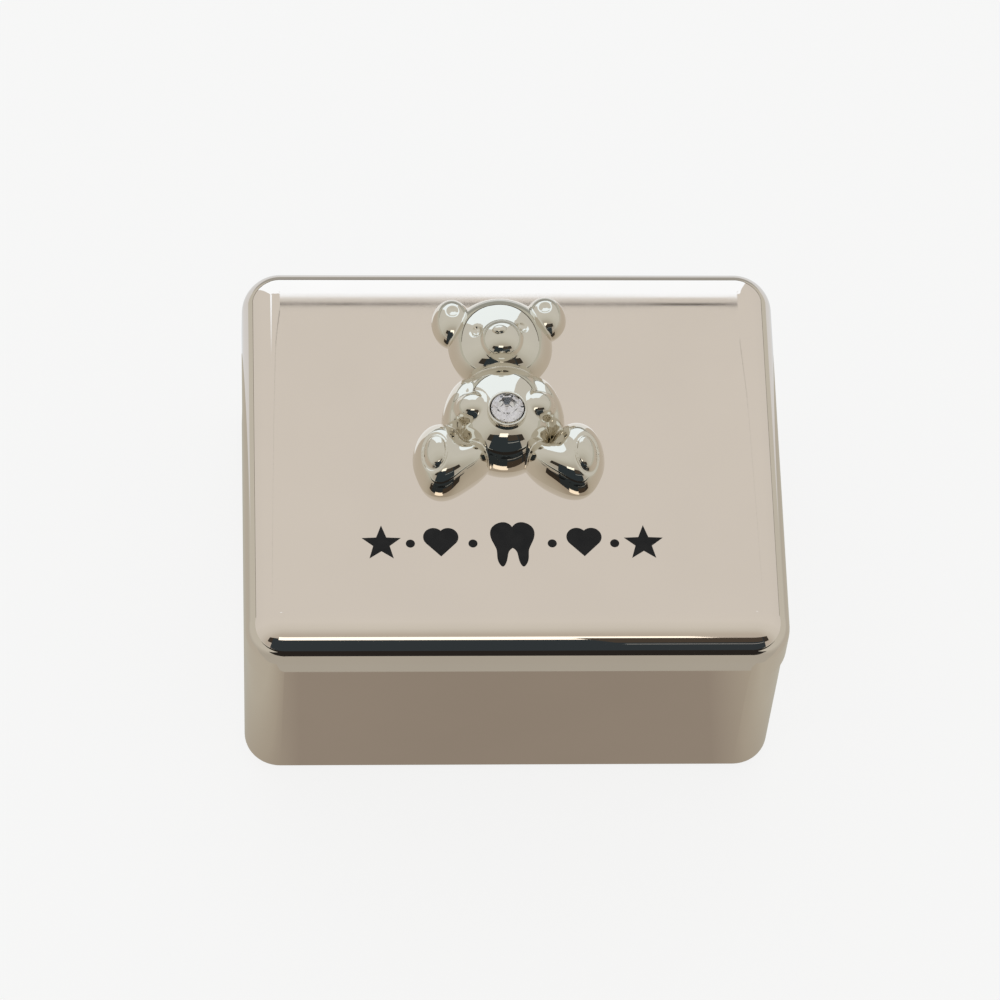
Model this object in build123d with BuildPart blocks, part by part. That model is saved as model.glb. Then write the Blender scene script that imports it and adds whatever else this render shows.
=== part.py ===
from build123d import *
import math
import os

os.makedirs("parts", exist_ok=True)

# A small metal keepsake box for a baby's first tooth. The lid is hinged at the back and carries
# a cast teddy bear that holds a round crystal. X is to the right, Y to the back, Z up, and the
# origin is the middle of the underside. Lengths are in millimetres and angles in degrees.

# The outside of the box
box_width = 50.0
box_depth = 40.8
box_height = 25.6
lid_height = 6.9
corner_radius = 3.6
lid_edge_radius = 3.5
base_edge_radius = 0.7
base_inset = 0.25
seam_gap = 0.1
rim_round = 0.15

# The metal shells
wall = 1.6
floor_thickness = 1.6
lid_top_thickness = 1.6
inner_edge_radius = 1.4
lip_height = 0.9
lip_thickness = 0.6
lip_clearance = 0.15
overrun = 1.0

# The felt under the base stands a little proud of the metal and sits in a shallow recess
felt_stand = 0.3
felt_recess = 0.5
felt_margin = 1.8
felt_clearance = 0.15

# The lining of the base and of the lid
lining_thickness = 0.9
lining_drop = 0.6
card_thickness = 0.8
card_clearance = 0.2
cushion_height = 3.2
cushion_round = 1.5
lid_card_margin = 1.8
lid_pad_thickness = 1.6
lid_pad_round = 0.7

# The hinge
hinge_width = 18.0
knuckle_radius = 1.1
pin_radius = 0.5
pin_running_clearance = 0.05
pin_head_radius = 0.8
pin_head_thickness = 0.35
lid_knuckle_length = 6.0
knuckle_side_gap = 0.1
hinge_clearance = 0.15
leaf_thickness = 0.7
leaf_drop = 5.5
leaf_corner_radius = 0.8
lid_leaf_rise = 3.0
open_angle = 100.0
heel_lead_angle = 45.0
heel_thickness = 0.7
stop_gap = 0.035

# The bear, which lies on its back on the lid with its head towards the hinge
bear_width = 17.9
bear_length = 20.8
bear_relief = 5.2
bear_x = -0.85
bear_y = 2.0
bear_turn = 1.8
ear_dimple_radius = 0.75
ear_dimple_depth = 0.3
peg_radius = 0.9

# The crystal and its setting
crystal_radius = 1.5
crystal_crown = 0.45
crystal_girdle = 0.12
crystal_lift = 4.95
crystal_y = -0.28
crown_angle = 34.0
upper_girdle_angle = 40.0
pavilion_angle = 41.0
lower_girdle_angle = 42.5
facet_count = 8
foil_thickness = 0.05
setting_clearance = 0.05
setting_wall = 0.22
setting_round = 0.1

# The black enamel ornament in front of the bear
ornament_x = -0.45
ornament_y = -9.75
ornament_width = 28.0
enamel_depth = 0.3
tooth_height = 4.8
heart_side = 1.9
star_radius = 1.9
dot_radius = 0.42

# Worked out from the sizes above
parting_height = box_height - lid_height
base_width = box_width - 2 * base_inset
base_depth = box_depth - 2 * base_inset
base_corner_radius = corner_radius - base_inset
base_rim = parting_height - seam_gap
floor_top = felt_stand + floor_thickness
well_width = base_width - 2 * wall
well_depth = base_depth - 2 * wall
well_radius = base_corner_radius - wall
lip_top = base_rim + lip_height
lid_ceiling = box_height - lid_top_thickness
hinge_y = box_depth / 2 + hinge_clearance + knuckle_radius
hinge_z = parting_height
hinge_to_base = hinge_y - base_depth / 2
hinge_to_lid = hinge_y - box_depth / 2


# Base shell: a drawn pan with a locating lip inside its rim and a recess for the felt below
with BuildPart() as base_shell:
    with BuildSketch(Plane.XY.offset(felt_stand)):
        RectangleRounded(base_width, base_depth, base_corner_radius)
    extrude(amount=base_rim - felt_stand)
    fillet(base_shell.faces().sort_by(Axis.Z)[0].edges(), radius=base_edge_radius)
    fillet(base_shell.faces().sort_by(Axis.Z)[-1].edges(), radius=rim_round)
    with BuildSketch(Plane.XY.offset(base_rim - wall)):
        RectangleRounded(
            well_width + 2 * lip_thickness,
            well_depth + 2 * lip_thickness,
            well_radius + lip_thickness,
        )
    extrude(amount=wall + lip_height)
    with BuildSketch(Plane.XY.offset(floor_top)):
        RectangleRounded(well_width, well_depth, well_radius)
    extrude(amount=lip_top - floor_top + overrun, mode=Mode.SUBTRACT)
    with BuildSketch(Plane.XY.offset(felt_stand - overrun)):
        RectangleRounded(
            base_width - 2 * felt_margin,
            base_depth - 2 * felt_margin,
            base_corner_radius,
        )
    extrude(amount=felt_recess + overrun, mode=Mode.SUBTRACT)
base_shell.part.label = "base_shell"
export_step(base_shell.part, "parts/base_shell.step")


# Felt: the pad that the box stands on
with BuildPart() as underside_felt:
    with BuildSketch(Plane.XY):
        RectangleRounded(
            base_width - 2 * felt_margin - 2 * felt_clearance,
            base_depth - 2 * felt_margin - 2 * felt_clearance,
            base_corner_radius - felt_clearance,
        )
    extrude(amount=felt_stand + felt_recess)
underside_felt.part.label = "underside_felt"
export_step(underside_felt.part, "parts/underside_felt.step")


# Wall lining: a velvet-covered strip glued round the inside of the base
with BuildPart() as base_wall_lining:
    with BuildSketch(Plane.XY.offset(floor_top)):
        RectangleRounded(well_width, well_depth, well_radius)
        RectangleRounded(
            well_width - 2 * lining_thickness,
            well_depth - 2 * lining_thickness,
            well_radius - lining_thickness,
            mode=Mode.SUBTRACT,
        )
    extrude(amount=base_rim - lining_drop - floor_top)
base_wall_lining.part.label = "base_wall_lining"
export_step(base_wall_lining.part, "parts/base_wall_lining.step")


# Floor card: the stiff board under the cushion
floor_pad_width = well_width - 2 * lining_thickness - 2 * card_clearance
floor_pad_depth = well_depth - 2 * lining_thickness - 2 * card_clearance
with BuildPart() as base_floor_card:
    with BuildSketch(Plane.XY.offset(floor_top)):
        RectangleRounded(floor_pad_width, floor_pad_depth, well_radius - lining_thickness)
    extrude(amount=card_thickness)
base_floor_card.part.label = "base_floor_card"
export_step(base_floor_card.part, "parts/base_floor_card.step")


# Floor cushion: the velvet pad that the tooth lies on, with a rounded crown
with BuildPart() as base_floor_cushion:
    with BuildSketch(Plane.XY.offset(floor_top + card_thickness)):
        RectangleRounded(floor_pad_width, floor_pad_depth, cushion_round)
    extrude(amount=cushion_height)
    fillet(
        base_floor_cushion.faces().sort_by(Axis.Z)[-1].edges(),
        radius=cushion_round - setting_round,
    )
base_floor_cushion.part.label = "base_floor_cushion"
export_step(base_floor_cushion.part, "parts/base_floor_cushion.step")


# The bear's own frame: on the lid's top, a little left of centre and turned slightly
bear_frame = Location((bear_x, bear_y, box_height), (0, 0, bear_turn))
head_y_share = 0.45
peg_places = [bear_frame * Location((0, y, 0)) for y in (0, head_y_share * bear_length)]


# The ornament, drawn flat on the lid's top: a molar, two hearts, two stars and dots between
tooth_half_shares = [
    (0.0, 0.36),
    (0.21, 0.46),
    (0.4, 0.33),
    (0.4, 0.08),
    (0.31, -0.14),
    (0.28, -0.4),
    (0.2, -0.5),
    (0.12, -0.38),
    (0.07, -0.17),
    (0.0, -0.1),
]
heart_place_share = 0.235
star_place_share = 0.43
dot_place_shares = (0.13, 0.335)
star_points = 5
star_inner_share = 0.42
with BuildSketch(Plane((ornament_x, ornament_y, box_height))) as ornament:
    with BuildLine():
        Spline(*[(x * tooth_height, y * tooth_height) for x, y in tooth_half_shares])
        mirror(about=Plane.YZ)
    make_face()
    for side in (-1, 1):
        with Locations((side * heart_place_share * ornament_width, 0)):
            Rectangle(heart_side, heart_side, rotation=45)
        lobe_shift = heart_side * math.sqrt(2) / 4
        heart_x = side * heart_place_share * ornament_width
        with Locations((heart_x - lobe_shift, lobe_shift), (heart_x + lobe_shift, lobe_shift)):
            Circle(heart_side / 2)
        star_x = side * star_place_share * ornament_width
        star_outline = []
        for point in range(2 * star_points):
            reach = star_radius if point % 2 == 0 else star_radius * star_inner_share
            turn = math.radians(90 + point * 180 / star_points)
            star_outline.append((star_x + reach * math.cos(turn), reach * math.sin(turn)))
        with BuildLine():
            Polyline(*star_outline, close=True)
        make_face()
        for dot_place_share in dot_place_shares:
            with Locations((side * dot_place_share * ornament_width, 0)):
                Circle(dot_radius)


# Lid shell: a deep cap with well rounded edges, a rebate for the base's lip, two holes for the
# bear's pegs and shallow pockets for the enamel
with BuildPart() as lid_shell:
    with BuildSketch(Plane.XY.offset(parting_height)):
        RectangleRounded(box_width, box_depth, corner_radius)
    extrude(amount=lid_height)
    fillet(lid_shell.faces().sort_by(Axis.Z)[-1].edges(), radius=lid_edge_radius)
    fillet(lid_shell.faces().sort_by(Axis.Z)[0].edges(), radius=rim_round)
    with BuildSketch(Plane.XY.offset(parting_height - overrun)):
        RectangleRounded(box_width - 2 * wall, box_depth - 2 * wall, corner_radius - wall)
    extrude(amount=lid_ceiling - parting_height + overrun, mode=Mode.SUBTRACT)
    ceiling = lid_shell.faces().filter_by_position(Axis.Z, lid_ceiling, lid_ceiling)[0]
    fillet(ceiling.edges(), radius=inner_edge_radius)
    with BuildSketch(Plane.XY.offset(parting_height - overrun)):
        RectangleRounded(
            well_width + 2 * lip_thickness + 2 * lip_clearance,
            well_depth + 2 * lip_thickness + 2 * lip_clearance,
            well_radius + lip_thickness + lip_clearance,
        )
    extrude(amount=lip_height + lip_clearance + overrun, mode=Mode.SUBTRACT)
    with Locations(*peg_places):
        Cylinder(
            radius=peg_radius,
            height=lid_top_thickness,
            align=(Align.CENTER, Align.CENTER, Align.MAX),
            mode=Mode.SUBTRACT,
        )
    extrude(ornament.sketch, amount=-enamel_depth, mode=Mode.SUBTRACT)
lid_shell.part.label = "lid_shell"
export_step(lid_shell.part, "parts/lid_shell.step")


# Enamel: the black filling of the ornament, level with the lid's top
with BuildPart() as enamel_inlay:
    extrude(ornament.sketch, amount=-enamel_depth)
enamel_inlay.part.label = "enamel_inlay"
export_step(enamel_inlay.part, "parts/enamel_inlay.step")


# Lid card: the stiff board glued under the lid's top
lid_pad_width = box_width - 2 * wall - 2 * lid_card_margin
lid_pad_depth = box_depth - 2 * wall - 2 * lid_card_margin
with BuildPart() as lid_lining_card:
    with BuildSketch(Plane.XY.offset(lid_ceiling - card_thickness)):
        RectangleRounded(lid_pad_width, lid_pad_depth, lid_card_margin)
    extrude(amount=card_thickness)
lid_lining_card.part.label = "lid_lining_card"
export_step(lid_lining_card.part, "parts/lid_lining_card.step")


# Lid pad: the velvet pad on that card
with BuildPart() as lid_lining_pad:
    with BuildSketch(Plane.XY.offset(lid_ceiling - card_thickness - lid_pad_thickness)):
        RectangleRounded(lid_pad_width, lid_pad_depth, lid_card_margin)
    extrude(amount=lid_pad_thickness)
    fillet(lid_lining_pad.faces().sort_by(Axis.Z)[0].edges(), radius=lid_pad_round)
lid_lining_pad.part.label = "lid_lining_pad"
export_step(lid_lining_pad.part, "parts/lid_lining_pad.step")


# Bear: one casting, built of rounded lumps. Places and sizes are shares of the bear's width,
# length and relief, measured from the middle of its body on the lid's top. Most lumps have their
# middle just below the lid, so that the lid cuts them off flat and nothing overhangs.
centre_lump_shares = [
    # head, muzzle, nose and body: place x, y, z, then half sizes x, y, z
    ((0.008, head_y_share, -0.12), (0.2654, 0.225, 0.865)),
    ((0.0045, 0.3846, 0.5096), (0.1201, 0.101, 0.4135)),
    ((-0.0106, 0.3942, 0.9077), (0.0369, 0.0221, 0.0808)),
    ((0, 0.045, -0.12), (0.2458, 0.2452, 1.02)),
]
side_lump_shares = [
    # ear, eye, arm, hand, foot, leg and sole pad, with their turns about X, Y and Z
    ((0.2447, 0.5635, -0.0769), (0.1095, 0.1139, 0.5), (0, 0, 0)),
    ((0.1251, 0.4413, 0.625), (0.0201, 0.0173, 0.0692), (0, 0, 0)),
    ((0.2112, 0.1058, -0.0962), (0.0961, 0.1611, 0.7115), (0, 0, 19)),
    ((0.1648, 0.0457, 0.5192), (0.0922, 0.0707, 0.3365), (0, 0, 6)),
    ((0.352, -0.149, -0.1346), (0.1464, 0.1721, 0.8462), (0, 0, 0)),
    ((0.2437, -0.1947, -0.1346), (0.2179, 0.0865, 0.75), (0, 0, -33)),
    ((0.391, -0.1827, 0.606), (0.0575, 0.0745, 0.0865), (14, 24, 0)),
]
ear_place_share = side_lump_shares[0][0]
ear_size_share = side_lump_shares[0][1]
bear_scale = (bear_width, bear_length, bear_relief)


# A unit ball stretched to three half sizes
def lump(size_shares):
    half_sizes = tuple(share * size for share, size in zip(size_shares, bear_scale))
    return scale(Sphere(1), by=half_sizes)


# Where a lump stands on the lid
def lump_place(place_shares, turn=(0, 0, 0)):
    place = tuple(share * size for share, size in zip(place_shares, bear_scale))
    return bear_frame * Location(place, turn)


centre_lumps = [lump_place(place) * lump(size) for place, size in centre_lump_shares]
side_lumps = []
for place_shares, size_shares, turn in side_lump_shares:
    x_share, y_share, z_share = place_shares
    right = lump_place((x_share, y_share, z_share), turn)
    left = lump_place((-x_share, y_share, z_share), (turn[0], -turn[1], -turn[2]))
    side_lumps.append(right * lump(size_shares))
    side_lumps.append(left * lump(size_shares))

ear_top = (ear_place_share[2] + ear_size_share[2]) * bear_relief
dimple_z = ear_top + ear_dimple_radius - ear_dimple_depth
dimple_places = [
    bear_frame
    * Location(
        (side * ear_place_share[0] * bear_width, ear_place_share[1] * bear_length, dimple_z)
    )
    for side in (-1, 1)
]
setting_radius = crystal_radius + foil_thickness + setting_clearance
pavilion_depth = crystal_radius * math.tan(math.radians(pavilion_angle))
crystal_frame = bear_frame * Location((0, crystal_y, crystal_lift))

with BuildPart() as bear_figure:
    add(centre_lumps)
    add(side_lumps)
    with Locations(crystal_frame):
        Cylinder(
            radius=setting_radius + setting_wall,
            height=crystal_lift / 2,
            align=(Align.CENTER, Align.CENTER, Align.MAX),
        )
    setting_rim = bear_figure.faces().filter_by(Plane.XY).sort_by(Axis.Z)[-1]
    fillet(setting_rim.edges(), radius=setting_round)
    split(bisect_by=Plane.XY.offset(box_height), keep=Keep.TOP)
    with Locations(crystal_frame):
        Cylinder(
            radius=setting_radius,
            height=pavilion_depth + 2 * setting_clearance,
            align=(Align.CENTER, Align.CENTER, Align.MAX),
            mode=Mode.SUBTRACT,
        )
    with Locations(*dimple_places):
        Sphere(ear_dimple_radius, mode=Mode.SUBTRACT)
    with Locations(*peg_places):
        Cylinder(
            radius=peg_radius,
            height=lid_top_thickness,
            align=(Align.CENTER, Align.CENTER, Align.MAX),
        )
bear_figure.part.label = "bear_figure"
export_step(bear_figure.part, "parts/bear_figure.step")


# A facet's plane: it leans outwards by its angle from level and touches the stone at a radius
def facet_plane(height, radius, angle, turn, face_up):
    lean = math.radians(angle)
    around = math.radians(turn)
    level = math.cos(lean) if face_up else -math.cos(lean)
    direction = (math.cos(around), math.sin(around))
    touch = (radius * direction[0], radius * direction[1], height)
    normal = (direction[0] * math.sin(lean), direction[1] * math.sin(lean), level)
    return Plane(crystal_frame * Plane(origin=touch, z_dir=normal).location)


# Crystal: a round brilliant with a flat table, two tiers of facets above and two below
main_turns = [360 / facet_count * facet for facet in range(facet_count)]
half_turns = [180 / facet_count * (facet + 0.5) for facet in range(2 * facet_count)]
with BuildPart() as crystal:
    with Locations(crystal_frame * Location((0, 0, -pavilion_depth))):
        Cylinder(
            radius=crystal_radius,
            height=pavilion_depth + crystal_girdle + crystal_crown,
            align=(Align.CENTER, Align.CENTER, Align.MIN),
        )
    for turn in main_turns:
        crown_facet = facet_plane(crystal_girdle, crystal_radius, crown_angle, turn, True)
        split(bisect_by=crown_facet, keep=Keep.BOTTOM)
        pavilion_facet = facet_plane(0, crystal_radius, pavilion_angle, turn, False)
        split(bisect_by=pavilion_facet, keep=Keep.BOTTOM)
    for turn in half_turns:
        girdle_facet = facet_plane(crystal_girdle, crystal_radius, upper_girdle_angle, turn, True)
        split(bisect_by=girdle_facet, keep=Keep.BOTTOM)
        lower_facet = facet_plane(0, crystal_radius, lower_girdle_angle, turn, False)
        split(bisect_by=lower_facet, keep=Keep.BOTTOM)
crystal.part.label = "crystal"
export_step(crystal.part, "parts/crystal.step")


# Foil: the thin bright cup behind the stone
with BuildPart() as crystal_foil:
    with Locations(crystal_frame * Location((0, 0, -foil_thickness))):
        Cylinder(
            radius=crystal_radius,
            height=pavilion_depth,
            align=(Align.CENTER, Align.CENTER, Align.MAX),
        )
    for turn in main_turns:
        foil_facet = facet_plane(-foil_thickness, crystal_radius, pavilion_angle, turn, False)
        split(bisect_by=foil_facet, keep=Keep.BOTTOM)
    add(crystal.part, mode=Mode.SUBTRACT)
crystal_foil.part.label = "crystal_foil"
export_step(crystal_foil.part, "parts/crystal_foil.step")


# Where the lid's heel meets the back of the base at the end of its swing
heel_lean = math.radians(open_angle - heel_lead_angle)
heel_room = hinge_to_base - stop_gap - heel_thickness / 2 * math.cos(heel_lean)
heel_reach = heel_room / math.sin(heel_lean)
heel_sweep = math.hypot(heel_reach, heel_thickness / 2)
base_knuckle_start = lid_knuckle_length / 2 + knuckle_side_gap
base_knuckle_length = hinge_width / 2 - base_knuckle_start
hinge_section = Plane((0, hinge_y, hinge_z), x_dir=(0, 1, 0), z_dir=(1, 0, 0))


# Base leaf: a plate soldered to the back of the base, with an ear and a knuckle at each end
leaf_body_top = -heel_sweep - hinge_clearance
with BuildPart() as base_hinge_leaf:
    with BuildSketch(hinge_section.offset(-hinge_width / 2)):
        with Locations((-hinge_to_base, -leaf_drop)):
            Rectangle(
                leaf_thickness,
                leaf_drop + leaf_body_top,
                align=(Align.MIN, Align.MIN),
            )
    extrude(amount=hinge_width)
    for start in (-hinge_width / 2, base_knuckle_start):
        with BuildSketch(hinge_section.offset(start)):
            with Locations((-hinge_to_base, leaf_body_top)):
                Rectangle(
                    leaf_thickness,
                    -leaf_body_top - seam_gap,
                    align=(Align.MIN, Align.MIN),
                )
            Circle(knuckle_radius)
            Circle(pin_radius, mode=Mode.SUBTRACT)
        extrude(amount=base_knuckle_length)
    base_leaf_corners = base_hinge_leaf.edges().filter_by(Axis.Y).group_by(Axis.Z)[0]
    fillet(base_leaf_corners, radius=leaf_corner_radius)
base_hinge_leaf.part.label = "base_hinge_leaf"
export_step(base_hinge_leaf.part, "parts/base_hinge_leaf.step")


# Lid leaf: a plate soldered to the back of the lid, with one knuckle and the heel that stops it
leaf_foot = knuckle_radius + hinge_clearance
with BuildPart() as lid_hinge_leaf:
    with BuildSketch(hinge_section.offset(-hinge_width / 2)):
        with Locations((-hinge_to_lid, leaf_foot)):
            Rectangle(leaf_thickness, lid_leaf_rise - leaf_foot, align=(Align.MIN, Align.MIN))
    extrude(amount=hinge_width)
    with BuildSketch(hinge_section.offset(-lid_knuckle_length / 2)):
        with Locations((-hinge_to_lid, 0)):
            Rectangle(leaf_thickness, leaf_foot, align=(Align.MIN, Align.MIN))
        Circle(knuckle_radius)
        with Locations(Location((0, 0, 0), heel_lead_angle)):
            Rectangle(heel_thickness, heel_reach, align=(Align.CENTER, Align.MAX))
        Circle(pin_radius + pin_running_clearance, mode=Mode.SUBTRACT)
    extrude(amount=lid_knuckle_length)
    lid_leaf_corners = lid_hinge_leaf.edges().filter_by(Axis.Y).group_by(Axis.Z)[-1]
    fillet(lid_leaf_corners, radius=leaf_corner_radius)
lid_hinge_leaf.part.label = "lid_hinge_leaf"
export_step(lid_hinge_leaf.part, "parts/lid_hinge_leaf.step")


# Hinge pin: held by the base's knuckles, with a peened head at each end
with BuildPart() as hinge_pin:
    with BuildSketch(hinge_section.offset(-hinge_width / 2)):
        Circle(pin_radius)
    extrude(amount=hinge_width)
    with BuildSketch(
        hinge_section.offset(-hinge_width / 2 - pin_head_thickness),
        hinge_section.offset(hinge_width / 2),
    ):
        Circle(pin_head_radius)
    extrude(amount=pin_head_thickness)
hinge_pin.part.label = "hinge_pin"
export_step(hinge_pin.part, "parts/hinge_pin.step")
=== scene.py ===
import bmesh
import bpy
import math
import numpy as np
from mathutils import Euler, Matrix, Vector


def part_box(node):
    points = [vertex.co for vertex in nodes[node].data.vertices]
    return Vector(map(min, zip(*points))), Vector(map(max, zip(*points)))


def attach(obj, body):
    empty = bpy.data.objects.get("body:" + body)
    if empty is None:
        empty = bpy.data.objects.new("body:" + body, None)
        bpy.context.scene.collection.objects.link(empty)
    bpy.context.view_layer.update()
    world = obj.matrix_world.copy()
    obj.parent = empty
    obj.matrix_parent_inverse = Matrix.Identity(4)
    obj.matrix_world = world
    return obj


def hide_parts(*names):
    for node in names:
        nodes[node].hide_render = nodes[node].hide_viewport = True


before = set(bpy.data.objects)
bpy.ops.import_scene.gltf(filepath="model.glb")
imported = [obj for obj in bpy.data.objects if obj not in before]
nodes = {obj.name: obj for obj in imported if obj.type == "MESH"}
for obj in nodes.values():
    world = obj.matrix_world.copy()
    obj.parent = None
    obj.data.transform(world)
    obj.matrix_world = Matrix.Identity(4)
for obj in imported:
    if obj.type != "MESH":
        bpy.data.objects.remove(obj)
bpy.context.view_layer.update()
scene = bpy.context.scene
mm = 0.001
print("frame loaded:", len(nodes), "nodes")


# The flat top that the bear and the stone stand on, read from the frame
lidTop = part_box("lid_shell")[1].z


# Camera: the photograph looks down at the box from in front, a little from its left
cameraView = {
    "elevation": 61.1,  # degrees above the table
    "side": 6.96,  # degrees round from straight in front
    "roll": 6.03,
    "distance": 0.5497,  # metres
    "target": (-0.63, 1.73, 12.94),  # millimetres
    "lens": 209.4,  # millimetres, as is the sensor
    "sensor": 36,
}


def placeCamera(view):
    high, side, roll = (math.radians(view[key]) for key in ("elevation", "side", "roll"))
    level = math.cos(high)
    forward = Vector((math.sin(side) * level, math.cos(side) * level, -math.sin(high)))
    right = Vector((math.cos(side), -math.sin(side), 0))
    up = right.cross(forward)
    across = math.cos(roll) * right + math.sin(roll) * up
    upright = math.cos(roll) * up - math.sin(roll) * right
    cameraData = bpy.data.cameras.new("camera")
    cameraData.lens = view["lens"]
    cameraData.sensor_width = view["sensor"]
    cameraObject = bpy.data.objects.new("camera", cameraData)
    scene.collection.objects.link(cameraObject)
    turn = Matrix((across, upright, -forward)).transposed().to_4x4()
    place = Vector(view["target"]) * mm - forward * view["distance"]
    cameraObject.matrix_world = Matrix.Translation(place) @ turn
    scene.camera = cameraObject


placeCamera(cameraView)


# Small helpers for materials
def newMaterial(name):
    material = bpy.data.materials.new(name)
    material.use_nodes = True
    tree = material.node_tree
    return material, tree.nodes, tree.links, tree.nodes["Principled BSDF"]


def newPiece(name, form):
    mesh = bpy.data.meshes.new(name)
    form.to_mesh(mesh)
    form.free()
    thing = bpy.data.objects.new(name, mesh)
    scene.collection.objects.link(thing)
    return thing


def noiseOn(tree, links, scale, detail=2.0, rough=0.5, stretch=(1, 1, 1)):
    place = tree.new("ShaderNodeTexCoord")
    mapping = tree.new("ShaderNodeMapping")
    mapping.inputs["Scale"].default_value = stretch
    links.new(place.outputs["Object"], mapping.inputs["Vector"])
    noise = tree.new("ShaderNodeTexNoise")
    noise.inputs["Scale"].default_value = scale
    noise.inputs["Detail"].default_value = detail
    noise.inputs["Roughness"].default_value = rough
    links.new(mapping.outputs["Vector"], noise.inputs["Vector"])
    return noise.outputs["Fac"]


def spread(tree, links, source, low, high, start=0.3, end=0.7):
    steps = tree.new("ShaderNodeMapRange")
    steps.inputs["From Min"].default_value = start
    steps.inputs["From Max"].default_value = end
    steps.inputs["To Min"].default_value = low
    steps.inputs["To Max"].default_value = high
    links.new(source, steps.inputs["Value"])
    return steps.outputs["Result"]


def tintBetween(tree, links, source, dark, light, start=0.3, end=0.7):
    ramp = tree.new("ShaderNodeValToRGB")
    ramp.color_ramp.elements[0].position = start
    ramp.color_ramp.elements[0].color = (*dark, 1)
    ramp.color_ramp.elements[1].position = end
    ramp.color_ramp.elements[1].color = (*light, 1)
    links.new(source, ramp.inputs["Fac"])
    return ramp.outputs["Color"]


def rampOf(tree, links, source, stops):
    ramp = tree.new("ShaderNodeValToRGB")
    ends = ramp.color_ramp.elements
    for count, (place, colour) in enumerate(stops.items()):
        end = ends[count] if count < 2 else ends.new(place)
        end.position = place
        end.color = (*colour, 1)
    links.new(source, ramp.inputs["Fac"])
    return ramp.outputs["Color"]


def mixColours(tree, links, factor, first, second, blend="MIX"):
    mix = tree.new("ShaderNodeMix")
    mix.data_type = "RGBA"
    mix.blend_type = blend
    sockets = (mix.inputs[0], mix.inputs[6], mix.inputs[7])
    for socket, value in zip(sockets, (factor, first, second)):
        if isinstance(value, bpy.types.NodeSocket):
            links.new(value, socket)
        elif isinstance(value, tuple):
            socket.default_value = (*value, 1)
        else:
            socket.default_value = value
    return mix.outputs[2]


# A smooth material whose colour and roughness drift a little from place to place
def cloudedMaterial(name, look):
    material, tree, links, shader = newMaterial(name)
    stretch = look.get("stretch", (1, 1, 1))
    cloud = noiseOn(tree, links, look["cloudScale"], look.get("detail", 2.0), stretch=stretch)
    tint = tintBetween(tree, links, cloud, look["dark"], look["light"])
    links.new(tint, shader.inputs["Base Color"])
    links.new(spread(tree, links, cloud, *look["roughness"]), shader.inputs["Roughness"])
    for socket, value in look["sockets"].items():
        shader.inputs[socket].default_value = value
    return material


def giveMaterial(thing, material):
    thing.data.materials.clear()
    thing.data.materials.append(material)


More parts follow.
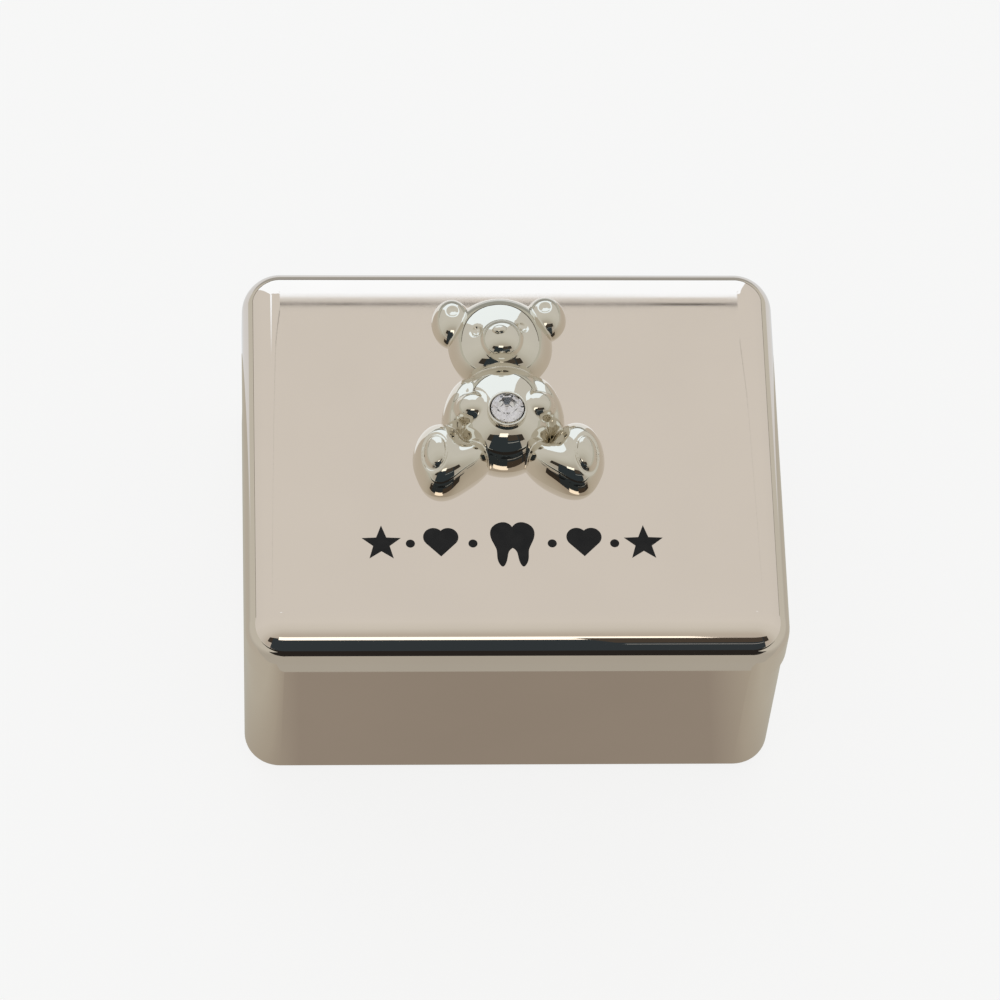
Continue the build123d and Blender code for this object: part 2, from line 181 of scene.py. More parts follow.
# Stage: floor, room light and cards
stageSet = {
    "floorSize": 6.0,  # metres
    "floorColour": (0.86, 0.86, 0.855),
    "seenFloor": (0.968, 0.968, 0.968),
    "seenShare": 0.87,
    "backdrop": (0.92, 0.92, 0.92),
    # the room's light by how far a direction points to the back, from -1 to 1
    "roomByBack": {
        -1.0: (0.5, 0.46, 0.42),
        -0.64: (0.555, 0.525, 0.465),
        -0.5: (0.635, 0.625, 0.57),
        -0.34: (0.7, 0.695, 0.645),
        0.0: (0.745, 0.74, 0.7),
        0.42: (0.735, 0.73, 0.695),
        1.0: (0.735, 0.73, 0.7),
    },
    # and how much of it is left by how far the direction points up
    "roomByHeight": {0.0: 0.97, 0.5: 1.0},
}
cards = {
    # Middle in metres, turn about X and Z in degrees, width and height in metres, glow.
    # A card lights the box only where it says so: the others are glowing sheets that change just
    # what the metal mirrors, painted reflections.
    "backSoftbox": {
        "middle": (-0.1, 0.545, 0.4325),
        "turn": (90, 0),
        "size": (0.68, 0.825),
        "colour": (0.9, 1.0, 1.1),
        "strength": 1.3,
        "lights": True,
    },
    "backSoftboxTop": {
        "middle": (0.0615, 0.545, 0.8775),
        "turn": (90, 0),
        "size": (0.131, 0.075),
        "colour": (0.9, 1.0, 1.1),
        "strength": 1.3,
        "lights": True,
    },
    "backDark": {
        "middle": (0.0, 0.543, -0.02),
        "turn": (90, 0),
        "size": (2.4, 0.09),
        "colour": (1.0, 0.88, 0.75),
        "strength": 0.12,
    },
    "backRail": {
        "middle": (0.0, 0.545, 0.9187),
        "turn": (90, 0),
        "size": (1.2, 0.0012),
        "colour": (0, 0, 0),
        "strength": 0,
    },
    "frontStrip": {
        "middle": (-0.103, -0.85, 0.694),
        "turn": (90, 0),
        "size": (0.446, 0.218),
        "colour": (1.0, 0.96, 0.86),
        "strength": 1.7,
        "lights": True,
    },
    "frontFlag": {
        "middle": (0.0, -0.852, 0.345),
        "turn": (90, 0),
        "size": (1.28, 0.69),
        "colour": (0.65, 0.85, 1.0),
        "strength": 0.055,
    },
    "frontFlagWide": {
        "middle": (0.0, -0.856, 0.5),
        "turn": (90, 0),
        "size": (2.0, 0.38),
        "colour": (1.0, 0.85, 0.7),
        "strength": 0.05,
    },
    "frontBrown": {
        "middle": (0.33, -0.848, 0.54),
        "turn": (90, 0),
        "size": (0.5, 0.29),
        "colour": (1.0, 0.82, 0.65),
        "strength": 0.074,
    },
    "frontGleam": {
        "middle": (0.33, -0.846, 0.315),
        "turn": (90, 0),
        "size": (0.5, 0.022),
        "colour": (0.95, 1.0, 1.0),
        "strength": 0.4,
    },
    # painted shade of the floor in front of the box: dark glowing sheets that only the metal sees
    "tableFarDark": {
        "middle": (0.0, -0.52, 0.0004),
        "turn": (0, 0),
        "size": (0.8, 0.66),
        "colour": (1.0, 0.88, 0.8),
        "strength": 0.024,
    },
    "tableNearDark": {
        "middle": (0.0, -0.135, 0.0004),
        "turn": (0, 0),
        "size": (0.14, 0.11),
        "colour": (1.0, 0.88, 0.8),
        "strength": 0.024,
    },
    # painted light and shade of the floor behind the box, seen only in the metal: a lighter strip
    # close behind it, darker beyond
    "tableBackLight": {
        "middle": (0.0, 0.0525, 0.0004),
        "turn": (0, 0),
        "size": (0.16, 0.055),
        "colour": (0.75, 0.78, 0.8),
        "strength": 1.0,
    },
    "tableBackDark": {
        "middle": (0.0, 0.24, 0.0004),
        "turn": (0, 0),
        "size": (0.16, 0.32),
        "colour": (1.0, 1.02, 0.96),
        "strength": 0.39,
    },
    "floorShadeInMetal": {
        "middle": (0.0, 0.0, 0.0002),
        "turn": (0, 0),
        "size": (4.0, 4.0),
        "colour": (1, 1, 1),
        "strength": 1.0,
        # painted shade of the floor, seen only in the metal: darker near the box, lighter at its
        # sides, by distance from its middle in metres
        "across": {
            0.0: (0.46, 0.45, 0.4),
            0.05: (0.46, 0.45, 0.4),
            0.075: (0.6, 0.6, 0.54),
            2.0: (0.6, 0.6, 0.54),
        },
    },
    "tableShade": {
        "middle": (0.0, 0.0, 0.0003),
        "turn": (0, 0),
        "size": (0.11, 0.0616),
        "colour": (1, 1, 1),
        "strength": 1.0,
        # darkest in front of the box's middle, by distance from it in metres
        "across": {
            0.0: (0.315, 0.28, 0.236),
            0.0195: (0.325, 0.29, 0.245),
            0.0235: (0.43, 0.4, 0.335),
            0.03: (0.5, 0.48, 0.41),
            0.055: (0.52, 0.5, 0.44),
        },
    },
}


def glowMaterial(name, card):
    material = bpy.data.materials.new(name)
    material.use_nodes = True
    tree, links = material.node_tree.nodes, material.node_tree.links
    tree.remove(tree["Principled BSDF"])
    glow = tree.new("ShaderNodeEmission")
    glow.inputs["Color"].default_value = (*card["colour"], 1)
    glow.inputs["Strength"].default_value = card["strength"]
    if "across" in card:
        widest = max(card["across"])
        place, parts = tree.new("ShaderNodeTexCoord"), tree.new("ShaderNodeSeparateXYZ")
        links.new(place.outputs["Object"], parts.inputs["Vector"])
        aside = tree.new("ShaderNodeMath")
        aside.operation = "ABSOLUTE"
        links.new(parts.outputs["X"], aside.inputs[0])
        share = spread(tree, links, aside.outputs[0], 0, 1, 0, widest)
        stops = {reach / widest: colour for reach, colour in card["across"].items()}
        links.new(rampOf(tree, links, share, stops), glow.inputs["Color"])
    links.new(glow.outputs["Emission"], tree["Material Output"].inputs["Surface"])
    return material


def addCard(name, card):
    form = bmesh.new()
    bmesh.ops.create_grid(form, x_segments=1, y_segments=1, size=0.5)
    bmesh.ops.scale(form, vec=(card["size"][0], card["size"][1], 1), verts=form.verts)
    turn = Euler((math.radians(card["turn"][0]), 0, math.radians(card["turn"][1]))).to_matrix()
    bmesh.ops.rotate(form, cent=(0, 0, 0), matrix=turn, verts=form.verts)
    bmesh.ops.translate(form, vec=card["middle"], verts=form.verts)
    thing = newPiece(name, form)
    giveMaterial(thing, glowMaterial(name, card))
    thing.visible_camera = False
    thing.visible_shadow = False
    thing.visible_diffuse = card.get("lights", False)


def seenRays(tree, links):
    path = tree.new("ShaderNodeLightPath")
    either = path.outputs["Is Camera Ray"]
    for ray in ("Is Glossy Ray", "Is Transmission Ray"):
        larger = tree.new("ShaderNodeMath")
        larger.operation = "MAXIMUM"
        links.new(either, larger.inputs[0])
        links.new(path.outputs[ray], larger.inputs[1])
        either = larger.outputs[0]
    return either


def buildFloor(stage):
    form = bmesh.new()
    bmesh.ops.create_grid(form, x_segments=1, y_segments=1, size=stage["floorSize"] / 2)
    floor = newPiece("floor", form)
    material, tree, links, shader = newMaterial("floorPaper")
    shader.inputs["Base Color"].default_value = (*stage["floorColour"], 1)
    shader.inputs["Roughness"].default_value = 1.0
    shader.inputs["Specular IOR Level"].default_value = 0.0
    glow = tree.new("ShaderNodeEmission")
    glow.inputs["Color"].default_value = (*stage["seenFloor"], 1)
    share = tree.new("ShaderNodeMath")
    share.operation = "MULTIPLY"
    share.inputs[1].default_value = stage["seenShare"]
    links.new(seenRays(tree, links), share.inputs[0])
    blend = tree.new("ShaderNodeMixShader")
    links.new(share.outputs[0], blend.inputs[0])
    links.new(shader.outputs["BSDF"], blend.inputs[1])
    links.new(glow.outputs["Emission"], blend.inputs[2])
    links.new(blend.outputs["Shader"], tree["Material Output"].inputs["Surface"])
    giveMaterial(floor, material)


def buildWorld(stage):
    world = bpy.data.worlds.new("studio")
    world.use_nodes = True
    tree, links = world.node_tree.nodes, world.node_tree.links
    direction = tree.new("ShaderNodeTexCoord")
    parts = tree.new("ShaderNodeSeparateXYZ")
    links.new(direction.outputs["Generated"], parts.inputs["Vector"])
    back = spread(tree, links, parts.outputs["Y"], 0, 1, -1, 1)
    byBack = {(y + 1) / 2: colour for y, colour in stage["roomByBack"].items()}
    byHeight = {z: (grey, grey, grey) for z, grey in stage["roomByHeight"].items()}
    room = mixColours(
        tree,
        links,
        1.0,
        rampOf(tree, links, back, byBack),
        rampOf(tree, links, parts.outputs["Z"], byHeight),
        "MULTIPLY",
    )
    path = tree.new("ShaderNodeLightPath")
    seen = mixColours(tree, links, path.outputs["Is Camera Ray"], room, stage["backdrop"])
    links.new(seen, tree["Background"].inputs["Color"])
    scene.world = world


buildFloor(stageSet)
buildWorld(stageSet)
for cardName, card in cards.items():
    addCard(cardName, card)
scene.view_settings.view_transform = "Standard"
print("stage built")


# Silver plate of the shells: a warm mirror polish with faint wiping marks
plate = {
    "tint": (0.82, 0.735, 0.665),
    "roughness": (0.012, 0.026),
    "cloudScale": 90,
}
bright = {
    "tint": (0.7, 0.66, 0.58),
    "roughness": (0.012, 0.03),
    "cloudScale": 160,
}
hingeMetal = {
    "tint": (0.74, 0.7, 0.64),
    "roughness": (0.1, 0.24),
    "cloudScale": 400,
    "stretch": (0.06, 1, 1),
}
pinMetal = {
    "tint": (0.66, 0.65, 0.63),
    "roughness": (0.2, 0.34),
    "cloudScale": 700,
    "stretch": (0.04, 1, 1),
}
metalCloud = {
    "detail": 3.0,
    "darkest": 0.985,
    "lightest": 1.01,
}


def metalMaterial(name, finish):
    look = {
        **finish,
        "detail": metalCloud["detail"],
        "dark": [part * metalCloud["darkest"] for part in finish["tint"]],
        "light": [min(1, part * metalCloud["lightest"]) for part in finish["tint"]],
        "sockets": {"Metallic": 1.0},
    }
    return cloudedMaterial(name, look)


plateMaterial = metalMaterial("silverPlate", plate)
brightMaterial = metalMaterial("brightSilver", bright)
hingeMaterial = metalMaterial("hingeMetal", hingeMetal)
pinMaterial = metalMaterial("pinSteel", pinMetal)
for nodeName in ("lid_shell", "base_shell"):
    giveMaterial(nodes[nodeName], plateMaterial)
for nodeName in ("lid_hinge_leaf", "base_hinge_leaf"):
    giveMaterial(nodes[nodeName], hingeMaterial)
giveMaterial(nodes["hinge_pin"], pinMaterial)
print("metals ready")


# Bear: one bright casting in low relief, made of rounded lumps that melt into each other
bear = {
    "place": (-0.85, 2.0),  # millimetres, on the lid's top
    "turn": 1.8,  # degrees
    "sunk": 0.06,  # how far its foot reaches into the lid
    "ballSides": (64, 40),  # of the balls that it starts from, round and up
    "voxel": 0.092,
    "steps": 4,  # in which its points then move onto the exact form
    "stride": 0.3,  # the farthest that a point may move in one step
    "leastSlope": 0.05,
    "slopeStep": 0.004,  # on each side of a point, where the form's slope is measured
    "heights": (0.3, 6.0),  # between which the form's top is looked for
    "halvings": 30,
}
bearLumps = {
    # middle, half sizes, turn about Z: millimetres and degrees in the bear's own frame
    "belly": ((0.0, -0.2, -0.8), (4.4, 4.15, 5.45), 0),
    "chest": ((0.0, 2.3, -0.8), (4.6, 4.2, 5.05), 0),
    "leftArm": ((-3.85, 2.2, -0.5), (1.72, 3.35, 3.7), -19),
    "rightArm": ((3.7, 2.2, -0.5), (1.72, 3.35, 3.7), 19),
    "leftHand": ((-3.0, 0.95, 2.7), (1.65, 1.45, 1.75), -6),
    "rightHand": ((2.9, 0.95, 2.7), (1.65, 1.45, 1.75), 6),
    "leftFoot": ((-6.1, -3.0, -0.7), (2.62, 3.6, 4.4), 0),
    "leftLeg": ((-4.3, -3.9, -0.7), (3.9, 1.8, 3.9), 31),
    "rightFoot": ((6.5, -3.2, -0.7), (2.62, 3.55, 4.4), 0),
    "rightLeg": ((4.43, -4.2, -0.7), (3.9, 1.8, 3.9), -35),
    "skull": ((0.14, 9.65, -0.8), (4.9, 4.5, 4.2), 0),
    "face": ((0.14, 7.95, -0.8), (4.3, 3.45, 4.6), 0),
    "leftEar": ((-4.22, 11.62, -0.4), (1.95, 2.5, 2.6), 0),
    "rightEar": ((4.53, 11.83, -0.4), (1.98, 2.25, 2.6), 0),
    "muzzle": ((0.08, 8.0, 2.65), (2.15, 2.1, 2.15), 0),
    "nose": ((-0.19, 8.2, 4.72), (0.66, 0.46, 0.42), 0),
}
bearJoins = [
    # how softly each lump melts into those of its group, in millimetres
    {
        "belly": 0.0,
        "chest": 1.5,
        "leftArm": 0.35,
        "rightArm": 0.35,
        "leftHand": 0.3,
        "rightHand": 0.3,
    },
    {"leftFoot": 0.0, "leftLeg": 1.0},
    {"rightFoot": 0.0, "rightLeg": 1.0},
    {"skull": 0.0, "face": 1.5, "leftEar": 0.15, "rightEar": 0.15, "muzzle": 0.1, "nose": 0.1},
]
bearGroupJoin = 0.14
earDimples = {
    "places": ((-4.25, 11.95), (4.37, 12.1)),
    "radius": 0.68,
    "depth": 0.34,
    "soft": 0.12,
}
bearEyes = {
    "places": ((-2.36, 9.09), (2.12, 9.27)),
    "socket": 0.6,
    "socketLift": 0.18,
    "socketSoft": 0.16,
    "ball": 0.36,
    "ballSink": 0.02,
    "ballSoft": 0.05,
}
solePads = {
    "places": ((-6.76, -3.52), (7.2, -4.08)),
    "half": (1.03, 1.6),
    "groove": 0.17,
    "grooveWidth": 0.16,
    "crown": 0.14,
    "fromHeight": 1.2,
}
crystalSeat = {
    "middle": (0.0, -0.28),
    "bore": 1.58,
    "boreLength": 4,
    "outer": 1.84,
    "top": 4.95,
    "foot": 4.1,
    "floor": 3.54,
    "round": 0.09,
    "facets": 96,
}


def lumpField(points, name):
    middle, half, turn = bearLumps[name]
    angle = math.radians(turn)
    x, y = points[:, 0] - middle[0], points[:, 1] - middle[1]
    across = x * math.cos(angle) + y * math.sin(angle)
    along = y * math.cos(angle) - x * math.sin(angle)
    place = np.stack((across, along, points[:, 2] - middle[2]), axis=1) / np.array(half)
    length = np.linalg.norm(place, axis=1)
    slope = np.linalg.norm(place / np.array(half), axis=1)
    return length * (length - 1) / np.maximum(slope, 1e-9)


def melt(first, second, softness):
    if softness <= 0:
        return np.minimum(first, second)
    overlap = np.maximum(softness - np.abs(first - second), 0) / softness
    return np.minimum(first, second) - overlap * overlap * softness / 4


def carve(solid, cutter, softness):
    return -melt(-solid, cutter, softness)


def ballField(points, middle, radius):
    return np.linalg.norm(points - np.array(middle), axis=1) - radius


def heightAt(x, y):
    low, high = bear["heights"]
    for _ in range(bear["halvings"]):
        middle = (low + high) / 2
        inside = plainBear(np.array([[x, y, middle]]))[0] < 0
        low, high = (middle, high) if inside else (low, middle)
    return low


def plainBear(points):
    whole = None
    for group in bearJoins:
        part = None
        for name, softness in group.items():
            field = lumpField(points, name)
            part = field if part is None else melt(part, field, softness)
        whole = part if whole is None else melt(whole, part, bearGroupJoin)
    return whole


dimpleBalls = []
for x, y in earDimples["places"]:
    radius, depth = earDimples["radius"], earDimples["depth"]
    ball = (radius * radius + depth * depth) / (2 * depth)
    dimpleBalls.append(((x, y, heightAt(x, y) - depth + ball), ball))
eyeHeights = [heightAt(x, y) for x, y in bearEyes["places"]]


def bearField(points):
    field = plainBear(points)
    for middle, radius in dimpleBalls:
        field = carve(field, ballField(points, middle, radius), earDimples["soft"])
    for (x, y), top in zip(bearEyes["places"], eyeHeights):
        socket = ballField(points, (x, y, top + bearEyes["socketLift"]), bearEyes["socket"])
        field = carve(field, socket, bearEyes["socketSoft"])
        ball = ballField(points, (x, y, top - bearEyes["ballSink"]), bearEyes["ball"])
        field = melt(field, ball, bearEyes["ballSoft"])
    halfX, halfY = solePads["half"]
    for x, y in solePads["places"]:
        reach = np.hypot((points[:, 0] - x) / halfX, (points[:, 1] - y) / halfY)
        ring = (reach - 1) * (halfX + halfY) / 2 / solePads["grooveWidth"]
        onTop = np.clip(points[:, 2] - solePads["fromHeight"], 0, 1)
        field = field + onTop * solePads["groove"] * np.exp(-ring * ring)
        field = field - onTop * solePads["crown"] * np.clip(1 - reach * reach, 0, 1)
    return field


def bearSlope(points):
    step = bear["slopeStep"]
    slope = np.empty_like(points)
    for axis in range(3):
        shift = np.zeros(3)
        shift[axis] = step
        slope[:, axis] = (bearField(points + shift) - bearField(points - shift)) / (2 * step)
    return slope


def remeshed(name, form, voxel):
    rough = newPiece(name, form)
    remesh = rough.modifiers.new("remesh", "REMESH")
    remesh.mode = "VOXEL"
    remesh.voxel_size = voxel
    depsgraph = bpy.context.evaluated_depsgraph_get()
    mesh = bpy.data.meshes.new_from_object(rough.evaluated_get(depsgraph))
    bpy.data.objects.remove(rough)
    return mesh


def seatBore(form):
    seat = crystalSeat
    place = Matrix.Translation((*seat["middle"], seat["floor"] + seat["boreLength"] / 2))
    cutter = bmesh.new()
    bmesh.ops.create_cone(
        cutter,
        cap_ends=True,
        segments=seat["facets"],
        radius1=seat["bore"],
        radius2=seat["bore"],
        depth=seat["boreLength"],
        matrix=place,
    )
    tool = newPiece("seatCutter", cutter)
    thing = newPiece("bearBored", form)
    cut = thing.modifiers.new("seat", "BOOLEAN")
    cut.operation = "DIFFERENCE"
    cut.solver = "EXACT"
    cut.object = tool
    depsgraph = bpy.context.evaluated_depsgraph_get()
    mesh = bpy.data.meshes.new_from_object(thing.evaluated_get(depsgraph))
    bpy.data.objects.remove(thing)
    bpy.data.objects.remove(tool)
    return mesh


def toLid(mesh):
    across, along = bear["place"]
    place = Matrix.Translation((across * mm, along * mm, lidTop))
    turn = Matrix.Rotation(math.radians(bear["turn"]), 4, "Z")
    mesh.transform(place @ turn @ Matrix.Scale(mm, 4))


def buildBear():
    form = bmesh.new()
    around, rows = bear["ballSides"]
    for middle, half, turn in bearLumps.values():
        shape = Matrix.Translation(middle) @ Matrix.Rotation(math.radians(turn), 4, "Z")
        shape = shape @ Matrix.Diagonal((*half, 1))
        bmesh.ops.create_uvsphere(form, u_segments=around, v_segments=rows, radius=1, matrix=shape)
    mesh = remeshed("bearLumps", form, bear["voxel"])
    form = bmesh.new()
    form.from_mesh(mesh)
    everything = form.verts[:] + form.edges[:] + form.faces[:]
    bmesh.ops.bisect_plane(
        form,
        geom=everything,
        dist=1e-5,
        plane_co=(0, 0, -bear["sunk"]),
        plane_no=(0, 0, 1),
        clear_inner=True,
    )
    rim = [edge for edge in form.edges if edge.is_boundary]
    bmesh.ops.holes_fill(form, edges=rim, sides=0)
    points = np.array([v.co for v in form.verts])
    free = points[:, 2] > -bear["sunk"] + 1e-4
    for _ in range(bear["steps"]):
        field, slope = bearField(points), bearSlope(points)
        slope[~free, 2] = 0  # the foot's rim stays level
        size = np.maximum((slope * slope).sum(axis=1), bear["leastSlope"])
        points -= np.clip(field / size, -bear["stride"], bear["stride"])[:, None] * slope
    for vert, point in zip(form.verts, points):
        vert.co = point
    mesh = seatBore(form)
    toLid(mesh)
    mesh.name = "bearCasting"
    thing = bpy.data.objects.new("bearCasting", mesh)
    scene.collection.objects.link(thing)
    mesh.shade_smooth()
    giveMaterial(thing, brightMaterial)
    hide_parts("bear_figure")
    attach(thing, "lid")
    print("bear:", len(mesh.polygons), "faces")


def buildSetting():
    seat = crystalSeat
    form = bmesh.new()
    inner, outer, top, soft = seat["bore"], seat["outer"], seat["top"], seat["round"]
    profile = [
        (inner, seat["foot"]),
        (inner, top - soft),
        (inner + soft * 0.4, top - soft * 0.25),
        (inner + soft, top),
        (outer - soft, top),
        (outer - soft * 0.3, top - soft * 0.3),
        (outer, top - soft),
        (outer, seat["foot"]),
    ]
    verts = [form.verts.new((radius, 0, height)) for radius, height in profile]
    edges = [form.edges.new(pair) for pair in zip(verts, verts[1:] + verts[:1])]
    bmesh.ops.spin(
        form,
        geom=verts + edges,
        cent=(0, 0, 0),
        axis=(0, 0, 1),
        angle=2 * math.pi,
        steps=seat["facets"],
        use_merge=True,
    )
    bmesh.ops.translate(form, vec=(*seat["middle"], 0), verts=form.verts)
    bmesh.ops.recalc_face_normals(form, faces=form.faces)
    thing = newPiece("crystalSetting", form)
    toLid(thing.data)
    thing.data.shade_smooth()
    giveMaterial(thing, brightMaterial)
    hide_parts("bear_figure")
    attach(thing, "lid")


buildBear()
buildSetting()


# Enamel, stone and foil
enamelLook = {
    "cloudScale": 900,
    "dark": (0.004, 0.004, 0.005),
    "light": (0.009, 0.008, 0.008),
    "roughness": (0.16, 0.26),
    "sockets": {"Specular IOR Level": 0.22},
}
stoneLook = {
    "cloudScale": 2500,
    "dark": (0.95, 0.95, 0.97),
    "light": (1.0, 1.0, 1.0),
    "roughness": (0.0, 0.012),
    "sockets": {"IOR": 1.56, "Transmission Weight": 1.0},
}
silveringLook = {
    "cloudScale": 1500,
    "dark": (0.86, 0.85, 0.88),
    "light": (0.97, 0.96, 0.98),
    "roughness": (0.02, 0.06),
    "sockets": {"Metallic": 1.0},
}
foilLook = {
    "cloudScale": 1500,
    "dark": (0.84, 0.84, 0.87),
    "light": (0.93, 0.93, 0.95),
    "roughness": (0.16, 0.3),
    "sockets": {"Metallic": 1.0},
}
stone = {
    "radius": 1.5,  # millimetres
    "sides": 96,
    "girdle": 0.12,
    "crown": 0.45,
    "gap": 0.02,  # clear of the foil under it
    # lean from level in degrees, facets round, turn as a share of one: main and girdle facets
    "above": ((34.0, 8, 0.0), (40.0, 16, 0.5)),
    "below": ((41.0, 8, 0.0), (42.5, 16, 0.5)),
    "silvered": -0.3,  # every face that points down more than this
}


def buildStone():
    form = bmesh.new()
    radius, depth = stone["radius"] - stone["gap"], stone["radius"]
    bmesh.ops.create_cone(
        form,
        cap_ends=True,
        segments=stone["sides"],
        radius1=radius,
        radius2=radius,
        depth=2 * depth,
    )
    level = stone["girdle"] + stone["crown"]
    cuts = [((0, 0, level), (0, 0, 1))]
    for facets, side, start in ((stone["above"], 1, stone["girdle"]), (stone["below"], -1, 0)):
        for lean, count, shift in facets:
            tilt = math.radians(lean)
            for facet in range(count):
                around = 2 * math.pi * (facet + shift) / count
                out = Vector((math.cos(around), math.sin(around), 0))
                normal = out * math.sin(tilt) + Vector((0, 0, side * math.cos(tilt)))
                cuts.append((out * radius + Vector((0, 0, start)), normal))
    for place, normal in cuts:
        everything = form.verts[:] + form.edges[:] + form.faces[:]
        bmesh.ops.bisect_plane(
            form, geom=everything, dist=1e-6, plane_co=place, plane_no=normal, clear_outer=True
        )
        rim = [edge for edge in form.edges if edge.is_boundary]
        bmesh.ops.holes_fill(form, edges=rim, sides=0)
    bmesh.ops.recalc_face_normals(form, faces=form.faces)
    for face in form.faces:
        face.smooth = False
        face.material_index = 1 if face.normal.z < stone["silvered"] else 0
    bmesh.ops.translate(form, vec=(*crystalSeat["middle"], crystalSeat["top"]), verts=form.verts)
    thing = newPiece("brilliantStone", form)
    toLid(thing.data)
    thing.data.materials.append(cloudedMaterial("crystalGlass", stoneLook))
    thing.data.materials.append(cloudedMaterial("silvering", silveringLook))
    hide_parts("crystal")
    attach(thing, "lid")


giveMaterial(nodes["enamel_inlay"], cloudedMaterial("blackEnamel", enamelLook))
buildStone()
giveMaterial(nodes["crystal_foil"], cloudedMaterial("mirrorFoil", foilLook))
print("stone and enamel ready")


# Boards under the velvet
boardLook = {
    "dark": (0.46, 0.42, 0.35),
    "light": (0.66, 0.6, 0.5),
    "fibreScale": 1400,
    "fibreDetail": 4.0,
    "fibreRough": 0.7,
    "stretch": (1, 3, 1),
    "roughness": 0.9,
    "bump": 0.00005,
}


def addBump(tree, links, shader, height, distance):
    bump = tree.new("ShaderNodeBump")
    bump.inputs["Distance"].default_value = distance
    links.new(height, bump.inputs["Height"])
    links.new(bump.outputs["Normal"], shader.inputs["Normal"])


def boardMaterial(look):
    material, tree, links, shader = newMaterial("greyBoard")
    scale, detail, rough = look["fibreScale"], look["fibreDetail"], look["fibreRough"]
    fibres = noiseOn(tree, links, scale, detail, rough, look["stretch"])
    tint = tintBetween(tree, links, fibres, look["dark"], look["light"])
    links.new(tint, shader.inputs["Base Color"])
    shader.inputs["Roughness"].default_value = look["roughness"]
    addBump(tree, links, shader, fibres, look["bump"])
    return material


boardGrey = boardMaterial(boardLook)
for nodeName in ("base_floor_card", "lid_lining_card"):
    giveMaterial(nodes[nodeName], boardGrey)


# Velvet: a short pile that lies this way and that, and felt under the box
velvetLook = {
    "dark": (0.02, 0.04, 0.15),
    "light": (0.045, 0.085, 0.26),
    "sheen": 0.7,
    "sheenTint": (0.35, 0.45, 0.85),
    "pileScale": 9000,
    "strokeScale": 110,
    "bump": 0.00008,
}
feltLook = {
    "dark": (0.02, 0.025, 0.06),
    "light": (0.05, 0.06, 0.12),
    "sheen": 0.25,
    "sheenTint": (0.5, 0.55, 0.7),
    "pileScale": 4500,
    "strokeScale": 300,
    "bump": 0.00012,
}
# How much of the colour follows the strokes and the pile, and where it turns from dark to light
pileBlend = {
    "strokes": 0.55,
    "pile": 0.45,
    "turn": (0.38, 0.62),
    "roughness": 0.95,
    "specular": 0.2,
    "sheenRoughness": 0.35,
}


def pileMaterial(name, look):
    material, tree, links, shader = newMaterial(name)
    strokes = noiseOn(tree, links, look["strokeScale"], 3.0, 0.6)
    pile = noiseOn(tree, links, look["pileScale"], 2.0, 0.7)
    share = tree.new("ShaderNodeMath")
    share.operation = "MULTIPLY_ADD"
    share.inputs[1].default_value = pileBlend["strokes"]
    links.new(strokes, share.inputs[0])
    rest = tree.new("ShaderNodeMath")
    rest.operation = "MULTIPLY"
    rest.inputs[1].default_value = pileBlend["pile"]
    links.new(pile, rest.inputs[0])
    links.new(rest.outputs[0], share.inputs[2])
    dark, light = look["dark"], look["light"]
    tint = tintBetween(tree, links, share.outputs[0], dark, light, *pileBlend["turn"])
    links.new(tint, shader.inputs["Base Color"])
    shader.inputs["Roughness"].default_value = pileBlend["roughness"]
    shader.inputs["Specular IOR Level"].default_value = pileBlend["specular"]
    shader.inputs["Sheen Weight"].default_value = look["sheen"]
    shader.inputs["Sheen Roughness"].default_value = pileBlend["sheenRoughness"]
    shader.inputs["Sheen Tint"].default_value = (*look["sheenTint"], 1)
    addBump(tree, links, shader, pile, look["bump"])
    return material


velvet = pileMaterial("blueVelvet", velvetLook)
felt = pileMaterial("darkFelt", feltLook)


# A flat rounded rectangle on z = 0, as one face
def roundedFace(form, width, depth, radius, segments=8):
    bmesh.ops.create_grid(form, x_segments=1, y_segments=1, size=0.5)
    bmesh.ops.scale(form, vec=(width, depth, 1), verts=form.verts)
    bmesh.ops.bevel(
        form,
        geom=form.verts[:],
        offset=radius,
        offset_type="OFFSET",
        segments=segments,
        profile=0.5,
        affect="VERTICES",
        material=-1,
    )


# Grows the faces of a flat form into a block
def raiseFaces(form, height):
    grown = bmesh.ops.extrude_face_region(form, geom=form.faces[:])
    top = [item for item in grown["geom"] if isinstance(item, bmesh.types.BMVert)]
    bmesh.ops.translate(form, vec=(0, 0, height), verts=top)


def toBoxMiddle(form, low, high):
    middle = ((low.x + high.x) / 2, (low.y + high.y) / 2, low.z)
    bmesh.ops.translate(form, vec=middle, verts=form.verts)


# Wall lining: a velvet strip round the inside of the base, its top edge turned over a soft core
wallLining = {
    "cornerRadius": 1.75,  # millimetres
    "thickness": 0.9,
    "rows": 10,
    "edgeRound": 0.38,
}


def buildWallLining():
    low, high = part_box("base_wall_lining")
    width, depth = high.x - low.x, high.y - low.y
    form = bmesh.new()
    roundedFace(form, width, depth, wallLining["cornerRadius"] * mm)
    raiseFaces(form, high.z - low.z)
    caps = [face for face in form.faces if abs(face.normal.z) > 0.9]
    bmesh.ops.delete(form, geom=caps, context="FACES_ONLY")
    toBoxMiddle(form, low, high)
    bmesh.ops.recalc_face_normals(form, faces=form.faces)
    upright = [edge for edge in form.edges if abs(edge.verts[0].co.z - edge.verts[1].co.z) > mm]
    bmesh.ops.subdivide_edges(form, edges=upright, cuts=wallLining["rows"], use_grid_fill=True)
    thing = newPiece("velvetWallLining", form)
    core = thing.modifiers.new("core", "SOLIDIFY")
    core.thickness = wallLining["thickness"] * mm
    core.offset = -1
    core.use_even_offset = True
    edge = thing.modifiers.new("softEdge", "BEVEL")
    edge.width = wallLining["edgeRound"] * mm
    edge.segments = 4
    edge.limit_method = "ANGLE"
    edge.angle_limit = math.radians(60)
    thing.data.shade_smooth()
    giveMaterial(thing, velvet)
    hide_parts("base_wall_lining")
    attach(thing, "base")


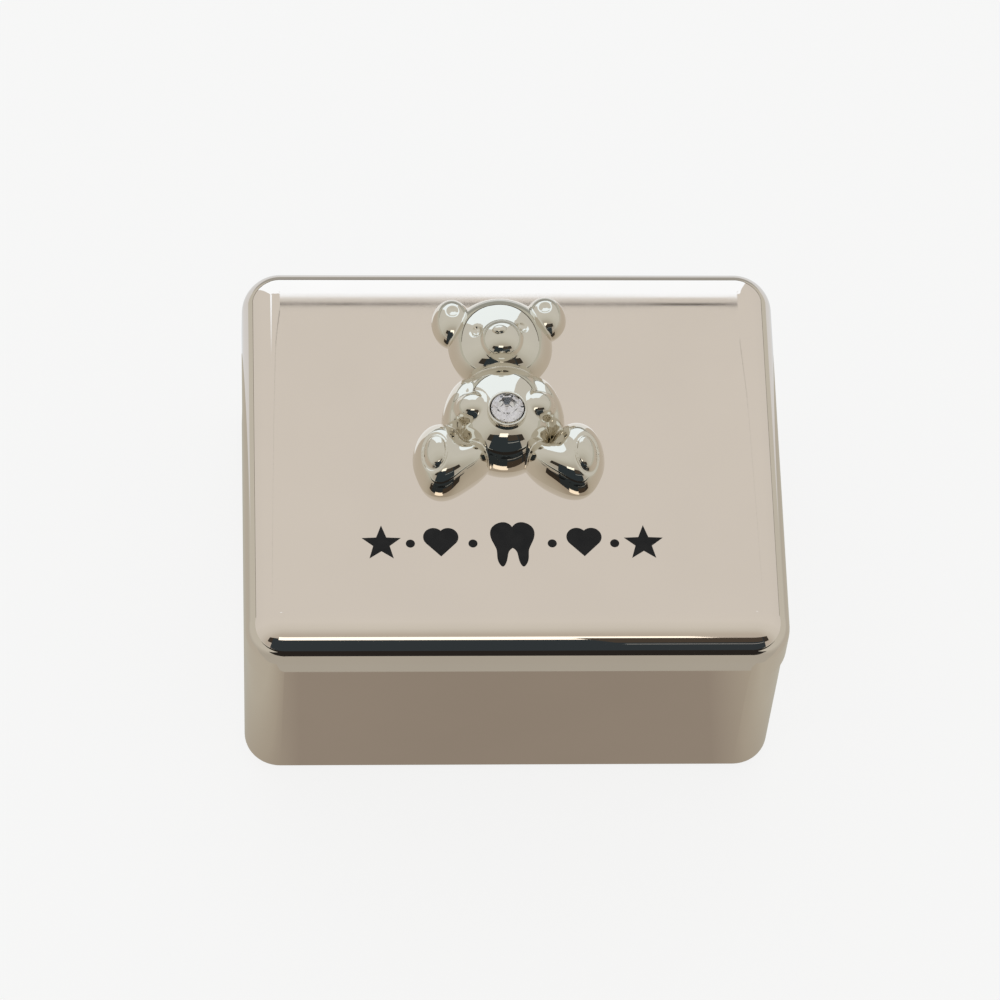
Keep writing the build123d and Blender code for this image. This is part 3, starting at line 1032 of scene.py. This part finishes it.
# Velvet pads: foam swollen under its cover by a short cloth simulation, on a larger copy
padSwell = {
    "grow": 20.0,
    "share": 0.985,  # of the pad's width and depth, before it swells
    "cornerRadius": 0.03,  # metres at the larger size, as are the voxel and the caps
    "voxel": 0.014,
    "pressure": 4.0,
    "frames": 18,
}
padShapes = {
    # up: the side that swells, thin: its share of the height before that, cap: how far at most
    "velvetCushion": {
        "node": "base_floor_cushion",
        "body": "base",
        "up": 1,
        "thin": 0.62,
        "cap": 0.026,
        "fill": 0.6,
    },
    "velvetLidPad": {
        "node": "lid_lining_pad",
        "body": "lid",
        "up": -1,
        "thin": 0.6,
        "cap": 0.014,
        "fill": 0.5,
    },
}


def padBlank(shape):
    low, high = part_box(shape["node"])
    size = (high - low) * padSwell["grow"]
    form = bmesh.new()
    share = padSwell["share"]
    roundedFace(form, size.x * share, size.y * share, padSwell["cornerRadius"])
    raiseFaces(form, size.z * shape["thin"])
    bmesh.ops.recalc_face_normals(form, faces=form.faces)
    return remeshed("padBlank", form, padSwell["voxel"])


def swell(mesh):
    thing = bpy.data.objects.new("padCloth", mesh)
    scene.collection.objects.link(thing)
    cloth = thing.modifiers.new("cloth", "CLOTH")
    cloth.settings.use_pressure = True
    cloth.settings.uniform_pressure_force = padSwell["pressure"]
    cloth.settings.effector_weights.gravity = 0
    cloth.point_cache.frame_start = 1
    cloth.point_cache.frame_end = padSwell["frames"]
    for step in range(1, padSwell["frames"] + 1):
        scene.frame_set(step)
    depsgraph = bpy.context.evaluated_depsgraph_get()
    swollen = bpy.data.meshes.new_from_object(thing.evaluated_get(depsgraph))
    scene.frame_set(1)
    bpy.data.objects.remove(thing)
    return swollen


def buildPad(name, shape):
    mesh = padBlank(shape)
    count = len(mesh.vertices)
    start = np.empty(count * 3)
    mesh.vertices.foreach_get("co", start)
    start = start.reshape(-1, 3)
    end = start.copy()
    mesh = swell(mesh)
    mesh.vertices.foreach_get("co", end.reshape(-1))
    move = end - start
    reach = np.linalg.norm(move, axis=1, keepdims=True)
    end = start + move * np.minimum(1, shape["cap"] / np.maximum(reach, 1e-9))
    end[:, 2] = np.maximum(end[:, 2], 0)  # flat where it is glued to its board
    low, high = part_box(shape["node"])
    fit = np.array((high.x - low.x, high.y - low.y)) / np.ptp(end[:, :2], axis=0)
    end[:, :2] = (end[:, :2] - (end[:, :2].max(axis=0) + end[:, :2].min(axis=0)) / 2) * fit
    end[:, :2] += np.array((low.x + high.x, low.y + high.y)) / 2
    end[:, 2] *= (high.z - low.z) / end[:, 2].max()
    end[:, 2] = low.z + end[:, 2] if shape["up"] > 0 else high.z - end[:, 2]
    form = bmesh.new()
    form.from_mesh(mesh)
    for vert, point in zip(form.verts, end):
        vert.co = point
    bmesh.ops.recalc_face_normals(form, faces=form.faces)
    thing = newPiece(name, form)
    smooth = thing.modifiers.new("smooth", "SUBSURF")
    smooth.levels = 1
    smooth.render_levels = 1
    thing.data.shade_smooth()
    giveMaterial(thing, velvet)
    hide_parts(shape["node"])
    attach(thing, shape["body"])
    print(name, len(thing.data.polygons), "faces")


# Felt under the base, with a softened edge
feltSheet = {
    "cornerRadius": 3.2,  # millimetres
    "edgeRound": 0.2,
}


def buildFelt():
    low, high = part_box("underside_felt")
    width, depth = high.x - low.x, high.y - low.y
    form = bmesh.new()
    roundedFace(form, width, depth, feltSheet["cornerRadius"] * mm)
    raiseFaces(form, high.z - low.z)
    bmesh.ops.recalc_face_normals(form, faces=form.faces)
    rims = [edge for edge in form.edges if edge.calc_face_angle() > 1]
    bmesh.ops.bevel(
        form,
        geom=rims,
        offset=feltSheet["edgeRound"] * mm,
        offset_type="OFFSET",
        segments=3,
        profile=0.5,
        affect="EDGES",
        material=-1,
    )
    toBoxMiddle(form, low, high)
    thing = newPiece("feltSole", form)
    thing.data.shade_smooth()
    giveMaterial(thing, felt)
    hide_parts("underside_felt")
    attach(thing, "base")


buildWallLining()
for padName, padShape in padShapes.items():
    buildPad(padName, padShape)
buildFelt()
print("soft pieces ready")
